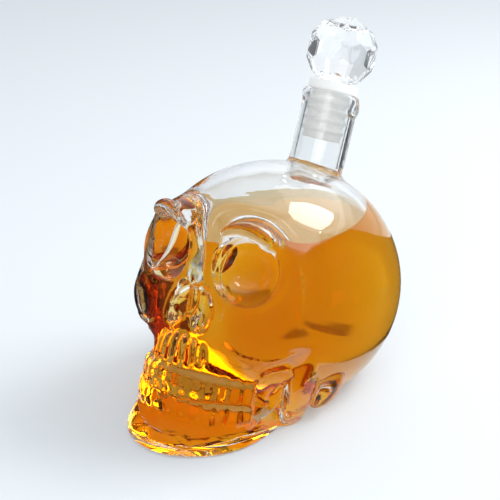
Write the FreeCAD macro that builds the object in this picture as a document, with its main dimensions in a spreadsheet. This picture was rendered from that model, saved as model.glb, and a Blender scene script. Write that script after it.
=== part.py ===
"""Skull-shaped liquor decanter: a hollow glass skull, its neck, the liquor and a faceted stopper.

The skull is drawn upright in its own frame, with the neck's axis as Z and the face toward -Y.
The finished skull leans back by one tilt angle and stands on the plane z = 0 with its jaw and
the flattened underside of its head. All sizes are millimetres.
"""
import FreeCAD
import Part
import math
import os

VECTOR = FreeCAD.Vector
SIDES = {"right": 1, "left": -1}
doc = FreeCAD.newDocument("Decanter")
sheet = doc.addObject("Spreadsheet::Sheet", "Sizes")

# Driving dimensions. Heights are measured along the neck's axis from the middle of the braincase.
SIZES = {
    # Stance of the skull on the table, and the block of stock that the cuts are taken from
    "tilt": 21.0,
    "sit_height": 43.0,
    "origin_shift": 15.4,
    "stock": 400.0,
    # Glass thickness and the liquor inside
    "wall": 4.0,
    "base_thickness": 4.0,
    "liquor_level": 78.0,
    "liquor_gap": 0.4,
    # Roundness of the face across the cheeks
    "face_round": 60.0,
    "face_front": 62.0,
    # Jaws: widest place, back edge of the rami and its slope
    "jaw_widest": 30.0,
    "jaw_back": 13.0,
    "ramus_slope": 0.12,
    "arch_power": 2.2,
    # Tooth rows, from the bite to the roots
    "teeth_per_row": 10,
    "teeth_start": 22.0,
    "tooth_bulge": 1.5,
    "tooth_groove": 0.1,
    "tooth_root": 0.8,
    "tooth_length": 9.0,
    "bite_height": -45.6,
    "bite_gap": 0.9,
    # Neck with a rolled lip and a flared foot
    "neck_diameter": 23.4,
    "bore_diameter": 18.6,
    "mouth_bevel": 1.2,
    "lip_height": 85.5,
    "lip_diameter": 25.2,
    "lip_roll": 5.0,
    "flare_radius": 6.0,
    "flare_height": 54.5,
    # Stopper: faceted ball on a shank, in a ribbed sleeve with a flange
    "ball_diameter": 30.0,
    "ball_seat": 13.5,
    "facets_around": 10,
    "facet_depth": 0.6,
    "flange_diameter": 21.4,
    "flange_thickness": 4.0,
    "sleeve_diameter": 16.6,
    "sleeve_length": 21.0,
    "rib_count": 4,
    "rib_thickness": 2.4,
    "rib_spacing": 4.2,
    "rib_clearance": 0.15,
    "shank_diameter": 10.0,
    "shank_length": 17.0,
    "shank_clearance": 0.1,
}

# Rounded forms of the right half: centre (x, y, z), width, depth, height, turn about Z, lean about Y
FORMS = {
    "cranium": (0.0, -8.3, 0.0, 99.0, 129.8, 106.4, 0.0, 0.0),
    "temple": (80.0, -24.0, 14.0, 80.0, 80.0, 76.0, 0.0, 0.0),
    "cheek_hollow": (46.0, -46.0, -40.0, 38.0, 64.0, 29.0, 0.0, 0.0),
    "chin": (0.0, -54.0, -69.0, 34.0, 25.0, 20.0, 0.0, 0.0),
    "cheekbone": (31.0, -47.0, -12.0, 22.0, 19.0, 29.0, 35.0, 0.0),
    "eye_rim": (36.0, -45.5, 7.0, 9.0, 14.0, 34.0, 0.0, 0.0),
    "arch": (41.5, -24.0, -13.0, 9.0, 48.0, 11.0, 0.0, 0.0),
    "brow": (20.5, -56.5, 22.0, 34.0, 14.0, 10.0, 26.0, 9.0),
    "glabella": (0.0, -56.0, 16.0, 22.0, 14.0, 16.0, 0.0, 0.0),
    "nose_bridge": (0.0, -56.5, 0.0, 12.0, 17.0, 24.0, 0.0, 0.0),
    "eye_socket": (20.5, -60.0, 8.0, 28.0, 34.0, 28.4, 12.0, 0.0),
    "nostril": (5.2, -62.0, -11.5, 10.0, 18.0, 20.0, 0.0, -16.0),
}
FORM_SIZES = ("x", "y", "z", "width", "depth", "height", "turn", "lean")
for form, values in FORMS.items():
    SIZES.update({f"{form}_{word}": value for word, value in zip(FORM_SIZES, values)})

# Levels of the jaws from below the chin up to the nose: height, reach of the front, half width
JAW_LEVELS = {
    "jaw_foot": (-84.0, 66.5, 36.0),
    "jaw_body": (-66.0, 64.5, 32.5),
    "lower_gum": (-54.0, 62.0, 29.5),
    "bite": (-45.0, 63.4, 27.5),
    "upper_gum": (-36.0, 64.6, 25.5),
    "nose_floor": (-22.0, 61.0, 25.0),
    "nose_top": (-6.0, 59.0, 27.0),
}
for level, values in JAW_LEVELS.items():
    SIZES.update({f"{level}_{word}": value for word, value in zip(("level", "reach", "half"), values)})

for row, (name, value) in enumerate(SIZES.items(), start=1):
    sheet.set(f"A{row}", name)
    sheet.set(f"B{row}", str(value))
    sheet.setAlias(f"B{row}", name)
doc.recompute()
size = {name: float(sheet.get(name)) for name in SIZES}


# Form of the skull, as a distance that is negative inside the glass, with the blend of each raised bone
BONES = {"cheekbone": 6, "eye_rim": 5, "arch": 4, "brow": 6, "glabella": 6, "nose_bridge": 4}


def soft_join(a, b, radius):
    """Join two forms with a rounded inside corner."""
    near = max(radius - abs(a - b), 0) / radius
    return min(a, b) - near * near * radius / 4


def soft_cut(a, b, radius):
    """Take the second form out of the first, with a rounded rim."""
    return -soft_join(-a, b, radius)


def egg(form, x, y, z):
    """Distance to one of the rounded forms."""
    x -= size[form + "_x"]
    y -= size[form + "_y"]
    z -= size[form + "_z"]
    turn = math.radians(size[form + "_turn"])
    lean = math.radians(size[form + "_lean"])
    x, y = x * math.cos(turn) + y * math.sin(turn), y * math.cos(turn) - x * math.sin(turn)
    x, z = x * math.cos(lean) - z * math.sin(lean), z * math.cos(lean) + x * math.sin(lean)
    half_x, half_y, half_z = [size[f"{form}_{word}"] / 2 for word in ("width", "depth", "height")]
    scaled = math.sqrt((x / half_x) ** 2 + (y / half_y) ** 2 + (z / half_z) ** 2)
    slope = math.sqrt((x / half_x**2) ** 2 + (y / half_y**2) ** 2 + (z / half_z**2) ** 2)
    return scaled * (scaled - 1) / max(slope, 1e-9)


def jaw_at(height):
    """Reach and half width of the jaws at one height, between the named levels."""
    levels = [[size[f"{name}_{word}"] for word in ("level", "reach", "half")] for name in JAW_LEVELS]
    height = min(max(height, levels[0][0]), levels[-1][0])
    for low, high in zip(levels, levels[1:]):
        if height <= high[0]:
            share = (height - low[0]) / (high[0] - low[0])
            return [a + share * (b - a) for a, b in zip(low[1:], high[1:])]


def jaws(x, y, z):
    """Distance to the jaws: round at the teeth, nearly square at the back of the rami."""
    reach, half = jaw_at(z)
    back = size["jaw_back"] - size["ramus_slope"] * (z - size["lower_gum_level"])
    along = y + size["jaw_widest"]
    length, power = (size["jaw_widest"] - back, 4.0)
    if along < 0:
        length, power = (reach - size["jaw_widest"], size["arch_power"])
    scaled = (abs(x / half) ** power + abs(along / length) ** power) ** (1 / power)
    return max((scaled - 1) * min(half, length), z - size["nose_top_level"])


def skull_distance(x, y, z, with_sockets):
    """Distance to the skull without its neck and teeth."""
    x = abs(x)
    head = egg("cranium", x, y, z)
    face = math.hypot(x, y + size["face_front"] - size["face_round"]) - size["face_round"]
    head = -soft_join(-head, -face, 8)
    head = soft_cut(head, egg("temple", x, y, z), 5)
    head = soft_cut(head, egg("cheek_hollow", x, y, z), 5)
    jaw = soft_join(jaws(x, y, z), egg("chin", x, y, z), 6)
    head = soft_join(head, jaw, 4)
    for bone, blend in BONES.items():
        head = soft_join(head, egg(bone, x, y, z), blend)
    if with_sockets:
        head = soft_cut(head, egg("eye_socket", x, y, z), 3)
        head = soft_cut(head, egg("nostril", x, y, z), 3)
    return head


# Surface of the skull
def station_middle(height):
    """Place on the midline from which one level of the skull is measured outward."""
    return size["cranium_y"] + 0.4 * min(height, 0)


def skin_reach(height, angle, depth, with_sockets):
    """Reach of the skull's surface, or of one lying deeper in it, in one direction."""
    def is_inside(reach):
        x, y = reach * math.sin(angle), station_middle(height) - reach * math.cos(angle)
        return skull_distance(x, y, height, with_sockets) < -depth

    stride = 4
    reach = size["cranium_depth"]
    while reach > stride and not is_inside(reach - stride):
        reach -= stride
    for halving in range(12):
        stride /= 2
        if not is_inside(reach - stride):
            reach -= stride
    return reach


def pushed_out(net):
    """The control net moved out by as much as the smooth surface falls short of it."""
    moved = [net[0]]
    for below, level, above in zip(net, net[1:], net[2:]):
        fair = []
        for place in range(len(level)):
            ahead = (place + 1) % len(level)
            beside = (level[place - 1] + level[ahead] - level[place] * 2) / 6
            along = (below[place] + above[place] - level[place] * 2) / 6
            fair.append(level[place] - beside - along)
        moved.append(fair)
    return moved + [net[-1]]


def skin(name, depth, pitch, points, with_sockets):
    """A solid inside one smooth surface whose control net lies on the skull, denser on the face."""
    foot, crown = size["jaw_foot_level"] + depth, size["cranium_height"] / 2 - depth
    shoulder, top = math.radians(35), math.radians(84)
    rows_below = round((crown * math.sin(shoulder) - foot) / pitch)
    rows_above = round(crown * (top - shoulder) / pitch)
    heights = [foot + (crown * math.sin(shoulder) - foot) * row / rows_below for row in range(rows_below)]
    for row in range(rows_above + 1):
        heights.append(crown * math.sin(shoulder + (top - shoulder) * row / rows_above))
    net = []
    for height in heights:
        right = []
        for step in range(points + 1):
            angle = math.pi * step / points
            angle -= 0.4 * math.sin(angle)
            reach = skin_reach(height, angle, depth, with_sockets)
            y = station_middle(height) - reach * math.cos(angle)
            right.append(VECTOR(reach * math.sin(angle), y, height))
        left = [VECTOR(-point.x, point.y, point.z) for point in reversed(right[1:-1])]
        net.append(right + left)
    up, around = len(net), 2 * points
    surface = Part.BSplineSurface()
    surface.buildFromPolesMultsKnots(pushed_out(net), [4] + [1] * (up - 4) + [4], [1] * (around + 1),
                                     list(range(up - 2)), list(range(around + 1)), False, True, 3, 3)
    side = surface.toShape()
    caps = [Part.Face(Part.Wire([edge])) for edge in side.Edges if edge.isClosed()]
    shell = Part.makeShell([side] + caps)
    shell.sewShape()
    body = doc.addObject("Part::Feature", name)
    body.Shape = Part.makeSolid(shell)
    return body


# Document objects tied to the sheet
def bind(part, **expressions):
    """Tie properties to the sheet; a double underscore stands for a dot."""
    for prop, expression in expressions.items():
        part.setExpression(prop.replace("__", "."), expression)
    return part


def place(part, x="0", y="0", z="0"):
    return bind(part, Placement__Base__x=x, Placement__Base__y=y, Placement__Base__z=z)


def stand(part):
    """Tip a form built in the skull's upright frame back onto its stance."""
    part.Placement = FreeCAD.Placement(VECTOR(), FreeCAD.Rotation(VECTOR(-1, 0, 0), 1))
    place(part, y="Sizes.origin_shift", z="Sizes.sit_height")
    return bind(part, Placement__Rotation__Angle="Sizes.tilt")


def hollow(form, side, axis, angle):
    """One of the rounded forms as a solid to be cut out, turned about one axis."""
    sign = SIDES[side]
    solid = doc.addObject("Part::Ellipsoid", f"{form}_{side}")
    solid.Placement = FreeCAD.Placement(VECTOR(), FreeCAD.Rotation(sign * axis, 1))
    bind(solid, Radius1=f"Sizes.{form}_height / 2", Radius2=f"Sizes.{form}_width / 2",
         Radius3=f"Sizes.{form}_depth / 2", Placement__Rotation__Angle=f"Sizes.{form}_{angle}")
    return place(solid, f"{sign} * Sizes.{form}_x", f"Sizes.{form}_y", f"Sizes.{form}_z")


def cylinder(name, diameter, bottom, top):
    solid = doc.addObject("Part::Cylinder", name)
    bind(solid, Radius=f"({diameter}) / 2", Height=f"({top}) - ({bottom})")
    return place(solid, z=bottom)


def ring(name, middle_radius, radius, height):
    solid = doc.addObject("Part::Torus", name)
    bind(solid, Radius1=middle_radius, Radius2=radius)
    return place(solid, z=height)


def slab(name, bottom, top):
    """A level block of stock between two heights above the table."""
    solid = doc.addObject("Part::Box", name)
    bind(solid, Length="Sizes.stock", Width="Sizes.stock", Height=f"({top}) - ({bottom})")
    return place(solid, "-Sizes.stock / 2", "-Sizes.stock / 2", bottom)


def fuse(name, forms):
    joined = doc.addObject("Part::MultiFuse", name)
    joined.Shapes = forms
    joined.Refine = False
    return joined


def cut(name, base, tool):
    remainder = doc.addObject("Part::Cut", name)
    remainder.Base = base
    remainder.Tool = tool
    remainder.Refine = False
    return remainder


def common(name, forms):
    shared = doc.addObject("Part::MultiCommon", name)
    shared.Shapes = forms
    shared.Refine = False
    return shared


def scalloped(name, height, crest, groove):
    """Outline of a tooth row at one height, bulging at each tooth and following the jaws' arch."""
    count = int(size["teeth_per_row"])
    reach, half = jaw_at(height)
    length = reach - size["jaw_widest"]
    first = math.radians(size["teeth_start"])

    def on_arch(step, proud):
        angle = first + (math.pi - 2 * first) * step / count
        across = math.copysign(abs(math.cos(angle)) ** (2 / size["arch_power"]), math.cos(angle))
        forward = math.sin(angle) ** (2 / size["arch_power"])
        return VECTOR((half + proud) * across, -size["jaw_widest"] - (length + proud) * forward, height)

    edges = []
    for tooth in range(count):
        scallop = Part.Arc(on_arch(tooth, groove), on_arch(tooth + 0.5, crest), on_arch(tooth + 1, groove))
        edges.append(scallop.toShape())
    edges.append(Part.makeLine(on_arch(count, groove), on_arch(0, groove)))
    outline = doc.addObject("Part::Feature", name)
    outline.Shape = Part.Wire(edges)
    return outline


def tooth_row(name, bite, root):
    """One row of teeth, full near the bite and sinking into the gum at the roots."""
    bulge, groove, sunk = size["tooth_bulge"], size["tooth_groove"], -size["tooth_root"]
    stages = [(0, 0.6 * bulge, groove), (0.3, bulge, groove), (0.7, 0.7 * bulge, groove)]
    stages.append((1, sunk, sunk - 0.4))
    row = doc.addObject("Part::Loft", name)
    row.Sections = [scalloped(f"{name}_{number}", bite + (root - bite) * share, crest, low)
                    for number, (share, crest, low) in enumerate(stages)]
    row.Solid = True
    return row


# Outside of the skull, with its sockets and teeth, and a hole in its crown for the neck
sockets = []
for side in SIDES:
    sockets.append(hollow("eye_socket", side, VECTOR(0, 0, 1), "turn"))
    sockets.append(hollow("nostril", side, VECTOR(0, 1, 0), "lean"))
outside = skin("skull_skin", 0, 5, 22, False)
face = cut("face", outside, fuse("sockets", sockets))
upper_bite = size["bite_height"] + size["bite_gap"] / 2
lower_bite = size["bite_height"] - size["bite_gap"] / 2
upper_teeth = tooth_row("upper_teeth", upper_bite, upper_bite + size["tooth_length"])
lower_teeth = tooth_row("lower_teeth", lower_bite, lower_bite - size["tooth_length"])
toothed = fuse("skull_with_teeth", [fuse("skull_with_upper_teeth", [face, upper_teeth]), lower_teeth])
bore_foot = "Sizes.flare_height / 2"
bore = cylinder("bore", "Sizes.bore_diameter", bore_foot, "Sizes.lip_height + Sizes.wall")
skull = stand(cut("skull", toothed, bore))
standing = common("standing_skull", [skull, slab("table_stock", "0", "Sizes.stock")])

# Inside of the skull: a smoother skull one wall deeper, above the thick base, that meets the bore
cavity = common("cavity", [stand(skin("cavity_skin", size["wall"], 7, 18, True)),
                           slab("cavity_stock", "Sizes.base_thickness", "Sizes.stock")])
bottle = cut("skull_bottle", standing, cavity)

# Neck: a tube with a rolled lip and a flared foot, welded onto the crown
tube = cylinder("neck_tube", "Sizes.neck_diameter", bore_foot, "Sizes.lip_height")
lip = ring("neck_lip", "(Sizes.lip_diameter - Sizes.lip_roll) / 2", "Sizes.lip_roll / 2",
           "Sizes.lip_height - Sizes.lip_roll / 2")
flare_block = cylinder("flare_block", "Sizes.neck_diameter + 2 * Sizes.flare_radius", bore_foot,
                       "Sizes.flare_height")
flare_cove = ring("flare_cove", "Sizes.neck_diameter / 2 + Sizes.flare_radius", "Sizes.flare_radius",
                  "Sizes.flare_height")
flare = cut("neck_flare", flare_block, flare_cove)
on_crown = cut("neck_on_crown", fuse("neck_blank", [tube, lip, flare]), outside)
mouth = doc.addObject("Part::Cone", "mouth_bevel_cone")
bind(mouth, Radius1="Sizes.bore_diameter / 2", Radius2="Sizes.bore_diameter / 2 + Sizes.mouth_bevel",
     Height="Sizes.mouth_bevel")
place(mouth, z="Sizes.lip_height - Sizes.mouth_bevel")
neck = stand(cut("neck", cut("bored_neck", on_crown, bore), mouth))

# Liquor: fills the cavity from its floor to the level of the liquor
liquor = common("liquor", [stand(skin("liquor_skin", size["wall"] + size["liquor_gap"], 7, 18, True)),
                           slab("liquor_stock", "Sizes.base_thickness", "Sizes.liquor_level")])


def faceted_ball(name):
    """A ball cut into flat facets, in rows that step round by half a facet."""
    around = int(size["facets_around"])
    radius = size["ball_diameter"] / 2 - size["facet_depth"]
    facets = [(90, 0, radius), (-90, 0, size["ball_seat"])]
    for latitude, count, offset in [(0, around, 0), (33, around, 0.5), (62, around // 2, 0.25)]:
        for row in {latitude, -latitude}:
            facets += [(row, 360 * (step + offset) / count, radius) for step in range(count)]
    width = size["ball_diameter"] * 2
    ball = Part.makeBox(width, width, width, VECTOR(-width / 2, -width / 2, -width / 2))
    for latitude, longitude, reach in facets:
        waste = Part.makeBox(width, width, width, VECTOR(-width / 2, -width / 2, reach))
        waste.rotate(VECTOR(), VECTOR(0, 1, 0), 90 - latitude)
        waste.rotate(VECTOR(), VECTOR(0, 0, 1), longitude)
        ball = ball.cut(waste)
    body = doc.addObject("Part::Feature", name)
    body.Shape = ball
    return place(body, z="Sizes.lip_height + Sizes.flange_thickness + Sizes.ball_seat")


# Stopper knob: the faceted ball with the shank that carries it
flange_top = "Sizes.lip_height + Sizes.flange_thickness"
shank_foot = f"{flange_top} - Sizes.shank_length"
shank = cylinder("shank", "Sizes.shank_diameter", shank_foot, f"{flange_top} + Sizes.ball_seat / 2")
knob = stand(fuse("stopper_knob", [faceted_ball("ball"), shank]))

# Stopper sleeve: a ribbed plug with a flange that rests on the lip, bored for the shank
plug = cylinder("plug", "Sizes.sleeve_diameter", "Sizes.lip_height - Sizes.sleeve_length", "Sizes.lip_height")
flange = cylinder("flange", "Sizes.flange_diameter", "Sizes.lip_height", flange_top)
rib_radius = "Sizes.rib_thickness / 2"
rib_middle = f"Sizes.bore_diameter / 2 - Sizes.rib_clearance - {rib_radius}"
ribs = []
for number in range(1, int(size["rib_count"]) + 1):
    height = f"Sizes.lip_height - Sizes.rib_spacing * {number}"
    ribs.append(ring(f"rib_{number}", rib_middle, rib_radius, height))
socket = cylinder("shank_socket", "Sizes.shank_diameter + 2 * Sizes.shank_clearance",
                  f"{shank_foot} - Sizes.shank_clearance", flange_top)
sleeve = stand(cut("stopper_sleeve", fuse("ribbed_plug", [plug, flange] + ribs), socket))

# Checks, then one file for each piece
doc.recompute()
for thing in doc.Objects:
    if {"Invalid", "Error"} & set(thing.State):
        raise RuntimeError(f"{thing.Name} did not build: {thing.State}")
os.makedirs("parts", exist_ok=True)
for piece in [bottle, neck, liquor, knob, sleeve]:
    shape = piece.Shape
    if shape.isNull() or not shape.isValid() or len(shape.Solids) != 1:
        raise RuntimeError(f"{piece.Label} is not one sound solid")
    shape.exportStep(f"parts/{piece.Label}.step")
    print(piece.Label, round(shape.Volume))
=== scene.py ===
import math

import bpy
from mathutils import Matrix, Vector


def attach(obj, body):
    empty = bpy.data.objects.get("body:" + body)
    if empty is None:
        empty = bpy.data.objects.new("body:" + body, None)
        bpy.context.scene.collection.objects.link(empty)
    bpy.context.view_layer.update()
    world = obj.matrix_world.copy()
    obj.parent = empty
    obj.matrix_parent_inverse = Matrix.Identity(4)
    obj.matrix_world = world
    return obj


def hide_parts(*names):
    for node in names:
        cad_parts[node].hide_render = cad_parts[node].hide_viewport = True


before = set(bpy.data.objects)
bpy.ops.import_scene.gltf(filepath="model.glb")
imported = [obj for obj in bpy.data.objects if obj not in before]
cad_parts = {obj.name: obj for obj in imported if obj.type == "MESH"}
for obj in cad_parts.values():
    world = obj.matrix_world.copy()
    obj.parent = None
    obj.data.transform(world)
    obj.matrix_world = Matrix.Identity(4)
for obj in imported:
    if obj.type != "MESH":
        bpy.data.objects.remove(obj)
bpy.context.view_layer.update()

# The skull is one hollow of clear glass, blown in a mould, with the neck tube welded onto its crown
# and the lip rolled over in the flame. It is worked upright here, in millimetres from the middle of
# the braincase with the face toward -Y, and leaned back once its bones and teeth are on.
MM = 0.001
LEAN = math.radians(21)
LEAN_BACK = Matrix.Translation((0, 15.4 * MM, 43 * MM)) @ Matrix.Rotation(-LEAN, 4, "X")
UPRIGHT = LEAN_BACK.inverted()
SAME_POINT = 0.002 * MM
BORE_RADIUS = 9.3 * MM
CROWN_UNDERSIDE = 30 * MM


def only(*pieces):
    """Select just these pieces, the last one active."""
    bpy.ops.object.select_all(action="DESELECT")
    for piece in pieces:
        piece.select_set(True)
    bpy.context.view_layer.objects.active = pieces[-1]


def edit(piece, everything=True):
    """Open one piece in edit mode, with everything selected or only what already is."""
    only(piece)
    bpy.ops.object.mode_set(mode="EDIT")
    if everything:
        bpy.ops.mesh.select_all(action="SELECT")


def done():
    """Leave edit mode."""
    bpy.ops.object.mode_set(mode="OBJECT")


def shown(name, mesh):
    """Put a mesh into the scene as a piece."""
    piece = bpy.data.objects.new(name, mesh)
    bpy.context.scene.collection.objects.link(piece)
    return piece


def cad_copy(node, name, turned=Matrix()):
    """A copy of a CAD node's mesh as a new bare piece, turned and with its triangles merged."""
    piece = shown(name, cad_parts[node].data.copy())
    piece.data.materials.clear()
    piece.data.transform(turned)
    edit(piece)
    bpy.ops.mesh.remove_doubles(threshold=SAME_POINT)
    done()
    return piece


# Shell of the moulding, split into its outside and its inside at the hole in the crown
outside = cad_copy("skull_bottle", "skull_outside", UPRIGHT)
edit(outside)
bpy.ops.mesh.select_all(action="DESELECT")
bpy.ops.mesh.select_mode(type="FACE")
done()
for face in outside.data.polygons:
    off_bore = abs(math.hypot(face.center.x, face.center.y) - BORE_RADIUS)
    face.select = off_bore < 0.1 * MM and face.center.z > CROWN_UNDERSIDE
edit(outside, everything=False)
bpy.ops.mesh.delete(type="FACE")
bpy.ops.mesh.select_all(action="SELECT")
bpy.ops.mesh.fill_holes(sides=0)
bpy.ops.mesh.separate(type="LOOSE")
done()
inside, outside = sorted(bpy.context.selected_objects, key=lambda shell: shell.dimensions.x)
edit(inside)
bpy.ops.mesh.flip_normals()
done()
bpy.context.view_layer.update()

# Hollow of the cheek, between the molars and the ramus of the jaw
CHEEK_BALL = (30, 30, 30)


def worked(piece, kind, **settings):
    """Add one modifier to a piece and apply it."""
    only(piece)
    modifier = piece.modifiers.new(kind.lower(), kind)
    for word, value in settings.items():
        setattr(modifier, word, value)
    bpy.ops.object.modifier_apply(modifier=modifier.name)


def cut_away(piece, cutter):
    """Take a closed form out of a piece."""
    worked(piece, "BOOLEAN", object=cutter, operation="DIFFERENCE", solver="MANIFOLD")
    bpy.data.objects.remove(cutter)


def lump(place, size, turn=0, lean=0, nod=0):
    """A rounded form in the upright skull, turned in degrees."""
    bpy.ops.object.select_all(action="DESELECT")
    bpy.ops.mesh.primitive_uv_sphere_add(segments=48, ring_count=24, radius=0.5,
                                         location=[step * MM for step in place],
                                         rotation=[math.radians(angle) for angle in (nod, lean, turn)])
    form = bpy.context.object
    form.scale = [side * MM for side in size]
    bpy.ops.object.transform_apply()
    return form


for side in (1, -1):
    cut_away(outside, lump((side * 41, -41, -39), CHEEK_BALL))

# Bones of the face. Most are beads of glass along a line on the skin: the rim of the orbit, the brow, the
# crest before the temple, the arch behind it, the edge of the cheekbone over its hollow and the rim of the
# nose. The ramus of the jaw, the mastoid and the septum are lumps.
ORBIT_RIM = [(6.5, -58, 5), (9, -56, 15), (16, -55, 21), (26, -56, 22), (34, -53, 16), (36.5, -52, 6),
             (32, -55, -3), (25, -57, -7), (15, -57, -6.5), (8.5, -58, -2)]
BROW = [(6, -63, 15.5), (13, -64, 19.5), (20.5, -63, 21.5), (27, -60, 21), (33, -56, 19), (38, -51.5, 13)]
CREST = [(37, -52, 18), (38.7, -50, 13.5), (40.2, -48.2, 6), (41.6, -46.5, -1), (42.6, -44.5, -8)]
ARCH = [(41.5, -46, -4), (43.2, -42, -8), (45.5, -33, -9.5), (47.2, -22, -10.5), (48, -10, -11.5)]
CHEEK_EDGE = [(13.5, -60.5, -14), (15, -59.5, -19.5), (19.5, -57.5, -24), (25, -54.5, -26.5),
              (32, -51.5, -25.5), (38, -47, -22.5), (42.5, -39, -18.5), (46, -32, -14)]
NOSE_RIM = [(0.5, -65, 1), (5, -63.5, -2), (9.5, -62, -7), (12.2, -61.5, -13), (12.5, -61, -19),
            (8, -62.5, -23), (2, -63.5, -23.5)]
THINNEST_END = 0.05


def joined(name, *pieces):
    """Make several pieces one, under a new name."""
    only(*pieces)
    bpy.ops.object.join()
    whole = bpy.context.object
    whole.name = whole.data.name = name
    return whole


def both_sides(form):
    """The form with its mirror image across the midline of the face."""
    twin = shown("twin", form.data.copy())
    twin.data.transform(Matrix.Scale(-1, 4, (1, 0, 0)))
    twin.data.flip_normals()
    return joined(form.name, twin, form)


def bead(skin, points, width, sink=0.2, closed=False):
    """A rounded ridge laid on the skin along a smooth line; an open one fades out at its ends."""
    line = bpy.data.curves.new("line", "CURVE")
    line.dimensions = "3D"
    line.resolution_u = 8
    guide = line.splines.new("NURBS")
    guide.points.add(len(points) - 1)
    for knot, place in zip(guide.points, points):
        knot.co = (place[0] * MM, place[1] * MM, place[2] * MM, 1)
    guide.order_u = 3
    guide.use_cyclic_u = closed
    guide.use_endpoint_u = not closed
    path = bpy.data.meshes.new_from_object(bpy.data.objects.new("line", line)).vertices
    rope = bpy.data.curves.new("bead", "CURVE")
    rope.dimensions = "3D"
    rope.bevel_depth = width * MM / 2
    rope.bevel_resolution = 4
    rope.use_fill_caps = True
    run = rope.splines.new("POLY")
    run.points.add(len(path) - 1)
    run.use_cyclic_u = closed
    for step, (knot, vertex) in enumerate(zip(run.points, path)):
        _, place, normal, _ = skin.closest_point_on_mesh(vertex.co)
        place = place - normal * sink * width * MM
        knot.co = (place.x, place.y, place.z, 1)
        swell = math.sin(math.pi * step / (len(path) - 1))
        knot.radius = 1 if closed else max(swell, THINNEST_END) ** 0.5
    return shown("bead", bpy.data.meshes.new_from_object(bpy.data.objects.new("bead", rope)))


ridges = [
    bead(outside, ORBIT_RIM, width=3.2, closed=True),
    bead(outside, BROW, width=7.0, sink=0.25),
    bead(outside, CREST, width=4.0, sink=0.0),
    bead(outside, ARCH, width=2.8),
    bead(outside, CHEEK_EDGE, width=3.0),
    bead(outside, NOSE_RIM, width=2.6),
]
ramus = lump((34.8, -23, -34), (7, 16, 44), lean=19, nod=20)
mastoid = lump((35, -7, -29.5), (14, 19, 25), turn=20, lean=14)
bones = [both_sides(bone) for bone in (*ridges, ramus, mastoid)]
septum = lump((0, -61.2, -11), (2.2, 5, 20), nod=4)

# Teeth: seven to a side in each row, set on the arch of the jaws, with the ridges of their roots above.
# A row is given by half its width, how far forward it reaches and its height.
TEETH_A_SIDE = 7
TOOTH_STEP = math.radians(10.4)
TOOTH_DEPTH = 5
UPPER_ROW = (26.0, 63.8, -41.3)
LOWER_ROW = (27.4, 62.4, -50.4)
ROOT_ROW = (24.4, 63.2, -31.5)
ROOTS_A_SIDE = 6
ROOT_DRAWN_IN = 0.92
ARCH_BACK = 30
ARCH_SQUARENESS = 2 / 2.2


def on_arch(angle, half, reach, height):
    """A place in a row of the jaws; the angle runs from the molars to the middle of the face."""
    across = math.cos(angle) ** ARCH_SQUARENESS * half
    return across, -ARCH_BACK - math.sin(angle) ** ARCH_SQUARENESS * (reach - ARCH_BACK), height


def tooth(place, size, heading):
    """A rounded crown, modelled as a bevelled block."""
    bpy.ops.object.select_all(action="DESELECT")
    bpy.ops.mesh.primitive_cube_add(size=1)
    crown = bpy.context.object
    edit(crown)
    bpy.ops.mesh.bevel(offset=0.32, segments=4, affect="EDGES")
    done()
    crown.scale = [side * MM for side in size]
    crown.rotation_euler = (0, 0, heading)
    crown.location = [step * MM for step in place]
    bpy.ops.object.transform_apply()
    return crown


teeth = []
for number in range(TEETH_A_SIDE):
    angle = math.pi / 2 - TOOTH_STEP * (number + 0.5)
    heading = (math.pi / 2 - angle) * 0.85
    wide = 6.8 if number in (0, 2) else 6.2
    teeth.append(tooth(on_arch(angle, *UPPER_ROW), (wide, TOOTH_DEPTH, 9.0), heading))
    teeth.append(tooth(on_arch(angle, *LOWER_ROW), (wide, TOOTH_DEPTH, 8.6), heading))
    if number < ROOTS_A_SIDE:
        x, y, z = on_arch(angle, *ROOT_ROW)
        teeth.append(lump((x * ROOT_DRAWN_IN, y, z), (4.2, 3.8, 17 - number),
                          turn=math.degrees(heading), lean=-4 - 3 * number, nod=6))
teeth = both_sides(joined("teeth", *teeth))

# Neck: a tube of the same glass, its foot flared onto the crown and its lip rolled over. A rod fills it
# until the hollow is cut out, which opens the bore too.
NECK_RADIUS = 11.7 * MM
NECK_FOOT = 42 * MM
LIP_HEIGHT = 85.5 * MM


def turned_rod(radius, bottom, top):
    """A round rod along the neck's axis."""
    bpy.ops.object.select_all(action="DESELECT")
    bpy.ops.mesh.primitive_cylinder_add(vertices=128, radius=radius, depth=top - bottom,
                                        location=(0, 0, (top + bottom) / 2))
    rod = bpy.context.object
    bpy.ops.object.transform_apply()
    return rod


neck = cad_copy("neck", "neck_form", UPRIGHT)
filling = turned_rod(NECK_RADIUS - 1 * MM, NECK_FOOT, LIP_HEIGHT - 1 * MM)

# All forms leaned back and melted into one; the foot reaches below the table until it is cut
GLASS_GRAIN = 0.92 * MM
SPARE_FOOT = 4 * MM
outside = joined("skull", *bones, septum, teeth, neck, filling, outside)
outside.data.transform(LEAN_BACK)
for face in outside.data.polygons:
    face.select = face.center.z < 0.02 * MM and face.normal.z < -0.99
edit(outside, everything=False)
bpy.ops.mesh.extrude_region_move(TRANSFORM_OT_translate={"value": (0, 0, -SPARE_FOOT)})
done()
worked(outside, "REMESH", mode="VOXEL", voxel_size=GLASS_GRAIN)
worked(outside, "SMOOTH", factor=0.5, iterations=3)

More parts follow.
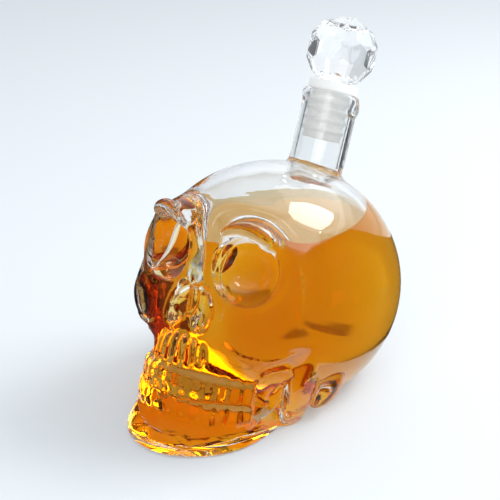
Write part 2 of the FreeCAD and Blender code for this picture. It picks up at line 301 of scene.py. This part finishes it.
# Temple, drawn level between the crest, the arch and the dome, inside an oval on each side of the head
TEMPLE_OUT = 30
TEMPLE_Y, TEMPLE_LONG = -19, 23
TEMPLE_Z, TEMPLE_TALL = 11, 16
edit(outside)
bpy.ops.mesh.select_mode(type="VERT")
bpy.ops.mesh.select_all(action="DESELECT")
done()
for vertex in outside.data.vertices:
    x, y, z = (UPRIGHT @ vertex.co) / MM
    oval = math.hypot((y - TEMPLE_Y) / TEMPLE_LONG, (z - TEMPLE_Z) / TEMPLE_TALL)
    vertex.select = abs(x) > TEMPLE_OUT and oval < 1
edit(outside, everything=False)
bpy.ops.mesh.vertices_smooth(factor=0.5, repeat=400)

# Foot, cut level and rounded at its edge in two steps, each an inset and a drop
FOOT_CUT = 0.9 * MM
FOOT_STEPS = ((0.3 * MM, 0.5 * MM), (0.6 * MM, 0.4 * MM))


def cut_level(height, **sides):
    """Cut what is selected along a level plane."""
    bpy.ops.mesh.bisect(plane_co=(0, 0, height), plane_no=(0, 0, 1), threshold=0.001 * MM, **sides)


def faced_out():
    """Turn all faces of the open piece outwards and leave edit mode."""
    bpy.ops.mesh.select_all(action="SELECT")
    bpy.ops.mesh.normals_make_consistent(inside=False)
    done()


bpy.ops.mesh.select_mode(type="FACE")
bpy.ops.mesh.select_all(action="SELECT")
cut_level(FOOT_CUT, clear_inner=True, use_fill=True)
for inset, drop in FOOT_STEPS:
    bpy.ops.mesh.inset(thickness=inset)
    bpy.ops.transform.translate(value=(0, 0, -drop))
faced_out()

# Hollow, with the bore that opens through the lip. Its wall waves round the face, as in blown glass, and
# the line of the liquor is cut into it, because below that line the glass is wet.
LIQUOR_LEVEL = 78 * MM
BORE_EASE = 0.25 * MM
BORE_BOTTOM = 20 * MM
PAST_LIP = 10 * MM
HOLLOW_GRAIN = 1.5 * MM
WAVE_LENGTH = 7 * MM
WAVE_HEIGHT = 2.6 * MM
FACE_BEFORE, FACE_BELOW = -30 * MM, 60 * MM
bore = turned_rod(BORE_RADIUS + BORE_EASE, BORE_BOTTOM, LIP_HEIGHT + PAST_LIP)
inside = joined("hollow", inside, bore)
inside.data.transform(LEAN_BACK)
worked(inside, "REMESH", mode="VOXEL", voxel_size=HOLLOW_GRAIN)
worked(inside, "SMOOTH", factor=0.5, iterations=6)
blown = bpy.data.textures.new("blown_waves", "CLOUDS")
blown.noise_scale = WAVE_LENGTH
face_wall = [v.index for v in inside.data.vertices if v.co.y < FACE_BEFORE and v.co.z < FACE_BELOW]
inside.vertex_groups.new(name="face").add(face_wall, 1, "REPLACE")
worked(inside, "DISPLACE", texture=blown, strength=WAVE_HEIGHT, mid_level=0.5, texture_coords="LOCAL",
       vertex_group="face")
worked(inside, "SMOOTH", factor=0.5, iterations=2)
edit(inside)
cut_level(LIQUOR_LEVEL)
done()
contents = shown("amber_liquor", inside.data.copy())


class Shade:
    """A node tree. node() adds a node with its settings and the values or links of its sockets, which go
    by name, with _ for a space, or by number, as in _0."""

    def __init__(self, tree):
        self.tree = tree

    def node(self, kind, settings=None, **inputs):
        made = self.tree.nodes.new(kind)
        for word, value in (settings or {}).items():
            setattr(made, word, value)
        self.feed(made, **inputs)
        return made

    def feed(self, made, **inputs):
        for word, value in inputs.items():
            socket = made.inputs[int(word[1:]) if word[1:].isdigit() else word.replace("_", " ")]
            if isinstance(value, Value):
                self.tree.links.new(value.socket, socket)
            else:
                socket.default_value = value

    def value(self, made, name=0):
        return Value(self, made.outputs[name])


class Value:
    """A socket that takes part in sums."""

    def __init__(self, shade, socket):
        self.shade = shade
        self.socket = socket

    def sum(self, operation, a, b):
        return self.shade.value(self.shade.node("ShaderNodeMath", {"operation": operation}, _0=a, _1=b))

    def __add__(self, other):
        return self.sum("ADD", self, other)

    def __mul__(self, other):
        return self.sum("MULTIPLY", self, other)

    def __sub__(self, other):
        return self.sum("SUBTRACT", self, other)

    def __rsub__(self, other):
        return self.sum("SUBTRACT", other, self)

    __radd__, __rmul__ = __add__, __mul__


def finish(name, *pieces, **inputs):
    """A new Principled material as the next one on some pieces, with constants on its own sockets."""
    material = bpy.data.materials.new(name)
    material.use_nodes = True
    shade = Shade(material.node_tree)
    shade.surface = material.node_tree.nodes["Principled BSDF"]
    shade.output = material.node_tree.nodes["Material Output"]
    shade.feed(shade.surface, **inputs)
    shade.place = shade.value(shade.node("ShaderNodeTexCoord"), "Object")
    for piece in pieces:
        piece.data.materials.append(material)
    return shade


def noise(shade, scale, detail):
    """Cloudy noise over a piece."""
    return shade.value(shade.node("ShaderNodeTexNoise", Vector=shade.place, Scale=scale, Detail=detail))


def bumped(shade, height, strength, distance):
    """Raise a surface by a height that changes over it."""
    bump = shade.node("ShaderNodeBump", Height=height, Strength=strength, Distance=distance)
    shade.feed(shade.surface, Normal=shade.value(bump))


def smoothed(piece, crease):
    """Shade a piece smooth, apart from edges sharper than the crease in degrees."""
    only(piece)
    bpy.ops.object.shade_smooth_by_angle(angle=math.radians(crease))


# Glass, clear and faintly green, with the slow ripple of a mould; against the liquor it bends light less
GLASS_COLOUR = (0.985, 0.99, 0.985, 1)
GLASS_BEND = 1.5
LIQUOR_BEND = 1.36
for shell in (outside, inside, contents):
    shell.data.materials.clear()
for name, bend in (("bottle_glass", GLASS_BEND), ("wetted_glass", GLASS_BEND / LIQUOR_BEND)):
    glass = finish(name, outside, inside, Base_Color=GLASS_COLOUR, Roughness=0.0, IOR=bend,
                   Transmission_Weight=1.0)
    bumped(glass, noise(glass, scale=55.0, detail=1.0), strength=0.12, distance=0.8 * MM)
for face in inside.data.polygons:
    face.material_index = 1 if face.center.z < LIQUOR_LEVEL else 0
cut_away(outside, inside)
skull = outside
smoothed(skull, crease=40)
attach(skull, "bottle")
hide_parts("skull_bottle", "neck")

# The liquor is an amber spirit, poured in through the neck. It fills the hollow up to its level and wets
# the glass, so light bends only a little on its way from the wall into it. Its amber comes from the depth
# of liquor that the light goes through. Its top carries painted light: a faint yellow emission that brightens
# it.
INTO_GLASS = 0.05 * MM
AMBER = (0.96, 0.787, 0.08, 1)
AMBER_DENSITY = 76.0
TOP_PAINTED_LIGHT = (1, 0.8, 0.2, 1)
liquor = contents
worked(liquor, "DISPLACE", strength=INTO_GLASS, mid_level=0)
edit(liquor)
cut_level(LIQUOR_LEVEL, clear_outer=True, use_fill=True)
faced_out()
# The top's emission is a painted highlight; the body of the liquor has none.
for name, bend, painted_glow in (("liquor_body", 1.0, 0.0), ("liquor_surface", LIQUOR_BEND, 0.32)):
    amber = finish(name, liquor, Base_Color=(1, 1, 1, 1), Roughness=0.0, IOR=bend, Transmission_Weight=1.0,
                   Emission_Color=TOP_PAINTED_LIGHT, Emission_Strength=painted_glow)
    absorb = amber.node("ShaderNodeVolumeAbsorption", Color=AMBER, Density=AMBER_DENSITY)
    amber.feed(amber.output, Volume=amber.value(absorb))
for face in liquor.data.polygons:
    face.material_index = 1 if face.center.z > LIQUOR_LEVEL - 0.01 * MM else 0
smoothed(liquor, crease=40)
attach(liquor, "bottle")
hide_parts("liquor")

# The plug is a sleeve of milky polyethylene, moulded with a flange that stops it on the lip and four soft
# ribs that seal the bore. It is pressed over the shank of the knob.
SLEEVE_GRAIN = 0.28 * MM
MILKY_DARK = (0.68, 0.69, 0.68, 1)
MILKY_PALE = (0.77, 0.775, 0.765, 1)
PLUG_PAINTED_LIGHT = (0.95, 0.97, 0.97, 1)
sleeve = cad_copy("stopper_sleeve", "sleeve")
worked(sleeve, "REMESH", mode="VOXEL", voxel_size=SLEEVE_GRAIN)
worked(sleeve, "SMOOTH", factor=0.5, iterations=3)
only(sleeve)
bpy.ops.object.shade_smooth()
# Its emission is painted light, making up for the lamp light that the glass of the neck keeps from the plug.
milky = finish("milky_polyethylene", sleeve, IOR=1.5, Emission_Color=PLUG_PAINTED_LIGHT, Emission_Strength=0.36)
cloud = noise(milky, scale=240.0, detail=2.0)
tint = milky.node("ShaderNodeMix", {"data_type": "RGBA"}, Factor=cloud, _6=MILKY_DARK, _7=MILKY_PALE)
milky.feed(milky.surface, Base_Color=milky.value(tint, 2), Roughness=0.3 + 0.3 * cloud)
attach(sleeve, "stopper")
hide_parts("stopper_sleeve")

# The knob is a ball of lead crystal with a short shank under it, ground into flat facets and polished.
# The shank is pushed into the plug and holds it. Polishing leaves the faces very slightly uneven.
knob = cad_copy("stopper_knob", "knob")
smoothed(knob, crease=12)
crystal = finish("cut_crystal", knob, Base_Color=(1, 1, 1, 1), Roughness=0.0, IOR=1.53,
                 Transmission_Weight=1.0)
bumped(crystal, noise(crystal, scale=400.0, detail=2.0), strength=0.05, distance=0.2 * MM)
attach(knob, "stopper")
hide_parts("stopper_knob")

# The floor is a sheet of pale drawing paper with a fine grain, under the decanter and out to the horizon.
# It lies a hair below the foot and is not part of the object. A share of its own light keeps it pale.
PAPER_COLOUR = (0.83, 0.87, 0.9, 1)
PAPER_LIGHT = (0.8, 0.86, 0.9, 1)
LIGHT_SHARE = 0.25
bpy.ops.object.select_all(action="DESELECT")
bpy.ops.mesh.primitive_plane_add(size=6, location=(0, 0, -0.2 * MM))
floor = bpy.context.object
floor.name = "studio_floor"
paper = finish("pale_paper", floor, Base_Color=PAPER_COLOUR, Roughness=0.7)
bumped(paper, noise(paper, scale=900.0, detail=3.0), strength=0.15, distance=0.2 * MM)
seen = paper.node("ShaderNodeLightPath")
lit = paper.value(seen, "Is Camera Ray") + paper.value(seen, "Is Glossy Ray")
lit = lit.sum("MAXIMUM", lit, paper.value(seen, "Is Transmission Ray"))
sheen = paper.node("ShaderNodeEmission", Color=PAPER_LIGHT)
blend = paper.node("ShaderNodeMixShader", Fac=LIGHT_SHARE * lit, _1=paper.value(paper.surface),
                   _2=paper.value(sheen))
paper.feed(paper.output, Surface=paper.value(blend))

# The room is a pale studio that brightens behind and above the decanter and is dim on the camera's side,
# as the glass shows it. The camera itself sees it evenly pale.
BRIGHT_SIDE = (-0.05, 0.8, 0.6)
ROOM_COLOUR = (0.9, 0.95, 1.0, 1)
ROOM_SEEN = 0.82
world = bpy.data.worlds.new("studio")
bpy.context.scene.world = world
world.use_nodes = True
room = Shade(world.node_tree)
toward = room.value(room.node("ShaderNodeTexCoord"), "Generated")
facing = room.node("ShaderNodeVectorMath", {"operation": "DOT_PRODUCT"}, _0=toward,
                   _1=Vector(BRIGHT_SIDE).normalized())
fade = room.value(room.node("ShaderNodeMapRange", {"interpolation_type": "SMOOTHSTEP"},
                            Value=room.value(facing, "Value"), From_Min=-0.1, From_Max=1.0,
                            To_Min=0.1, To_Max=1.15))
direct = room.value(room.node("ShaderNodeLightPath"), "Is Camera Ray")
room.feed(world.node_tree.nodes["Background"], Color=ROOM_COLOUR,
          Strength=ROOM_SEEN * direct + (1 - direct) * fade)


# The lamps are softboxes. The window shows only as a reflection, on the dome and the top of the liquor; the
# key behind throws the shadow and shines through the amber, and the fill lights the front.
def softbox(name, place, aim, width, height, power):
    """A rectangular lamp at a place, turned to its aim."""
    lamp = bpy.data.lights.new(name, "AREA")
    lamp.shape = "RECTANGLE"
    lamp.size = width
    lamp.size_y = height
    lamp.energy = power
    light = bpy.data.objects.new(name, lamp)
    bpy.context.scene.collection.objects.link(light)
    light.location = place
    light.rotation_euler = (Vector(place) - Vector(aim)).to_track_quat("Z", "Y").to_euler()
    return light


window = softbox("window", (0.26, 0.72, 0.78), aim=(0, 0, 0.08), width=0.9, height=0.7, power=3.2)
window.visible_diffuse = window.visible_transmission = False
key = softbox("key", (0.4, 0.65, 0.8), aim=(0, 0, 0.05), width=0.5, height=0.5, power=8)
fill = softbox("fill", (0.5, -0.9, 0.7), aim=(0, 0, 0.08), width=0.8, height=0.8, power=7)
key.visible_glossy = fill.visible_glossy = False


# Two cards stand round the front and right of the skull, open at the back, as beside glass in a studio. The
# dark one shows only as a reflection, and the grey one only dims the side light that the rims bend in.
def open_back(name, behind, toward_back, colour, material):
    """Cut the new card open past a plane, colour it and hide it from the camera and the shadows."""
    card = bpy.context.object
    card.name = name
    edit(card)
    bpy.ops.mesh.bisect(plane_co=behind, plane_no=toward_back, clear_outer=True)
    done()
    finish(material, card, Base_Color=colour, Roughness=0.9)
    card.visible_camera = card.visible_diffuse = card.visible_shadow = False
    return card


bpy.ops.object.select_all(action="DESELECT")
bpy.ops.mesh.primitive_cone_add(vertices=96, radius1=0.078, radius2=0.26, depth=0.15, end_fill_type="NOTHING",
                                location=(0, 0, 0.076), scale=(0.72, 1, 1))
card = open_back("dark_card", (0, 0.125, 0), (-0.42, 0.91, 0), (0.03, 0.03, 0.035, 1), "dark_felt")
card.visible_transmission = False
bpy.ops.object.select_all(action="DESELECT")
bpy.ops.mesh.primitive_cylinder_add(vertices=96, radius=0.2, depth=0.13, end_fill_type="NOTHING",
                                    location=(0, 0, 0.0655))
flag = open_back("dark_flag", (-0.09, 0.109, 0), (-0.64, 0.77, 0), (0.3, 0.3, 0.31, 1), "grey_card")
flag.visible_glossy = False

# The camera stands where the photograph's did, 40 degrees round from the face and 22 above the table.
# Light passes many walls of glass, so its paths may be long.
AROUND = math.radians(40)
ABOVE = math.radians(22)
LIGHT_BOUNCES = 32
view = bpy.data.cameras.new("photo_view")
view.sensor_width = 36
view.lens = 91.87
camera = bpy.data.objects.new("photo_view", view)
bpy.context.scene.collection.objects.link(camera)
outward = Vector((math.sin(AROUND) * math.cos(ABOVE), -math.cos(AROUND) * math.cos(ABOVE), math.sin(ABOVE)))
camera.location = (0.3162, -0.3858, 0.2652)
camera.rotation_euler = outward.to_track_quat("Z", "Y").to_euler()
bpy.context.scene.camera = camera
bpy.context.scene.view_settings.view_transform = "Standard"
light_paths = bpy.context.scene.cycles
light_paths.max_bounces = LIGHT_BOUNCES
light_paths.glossy_bounces = LIGHT_BOUNCES
light_paths.transmission_bounces = LIGHT_BOUNCES
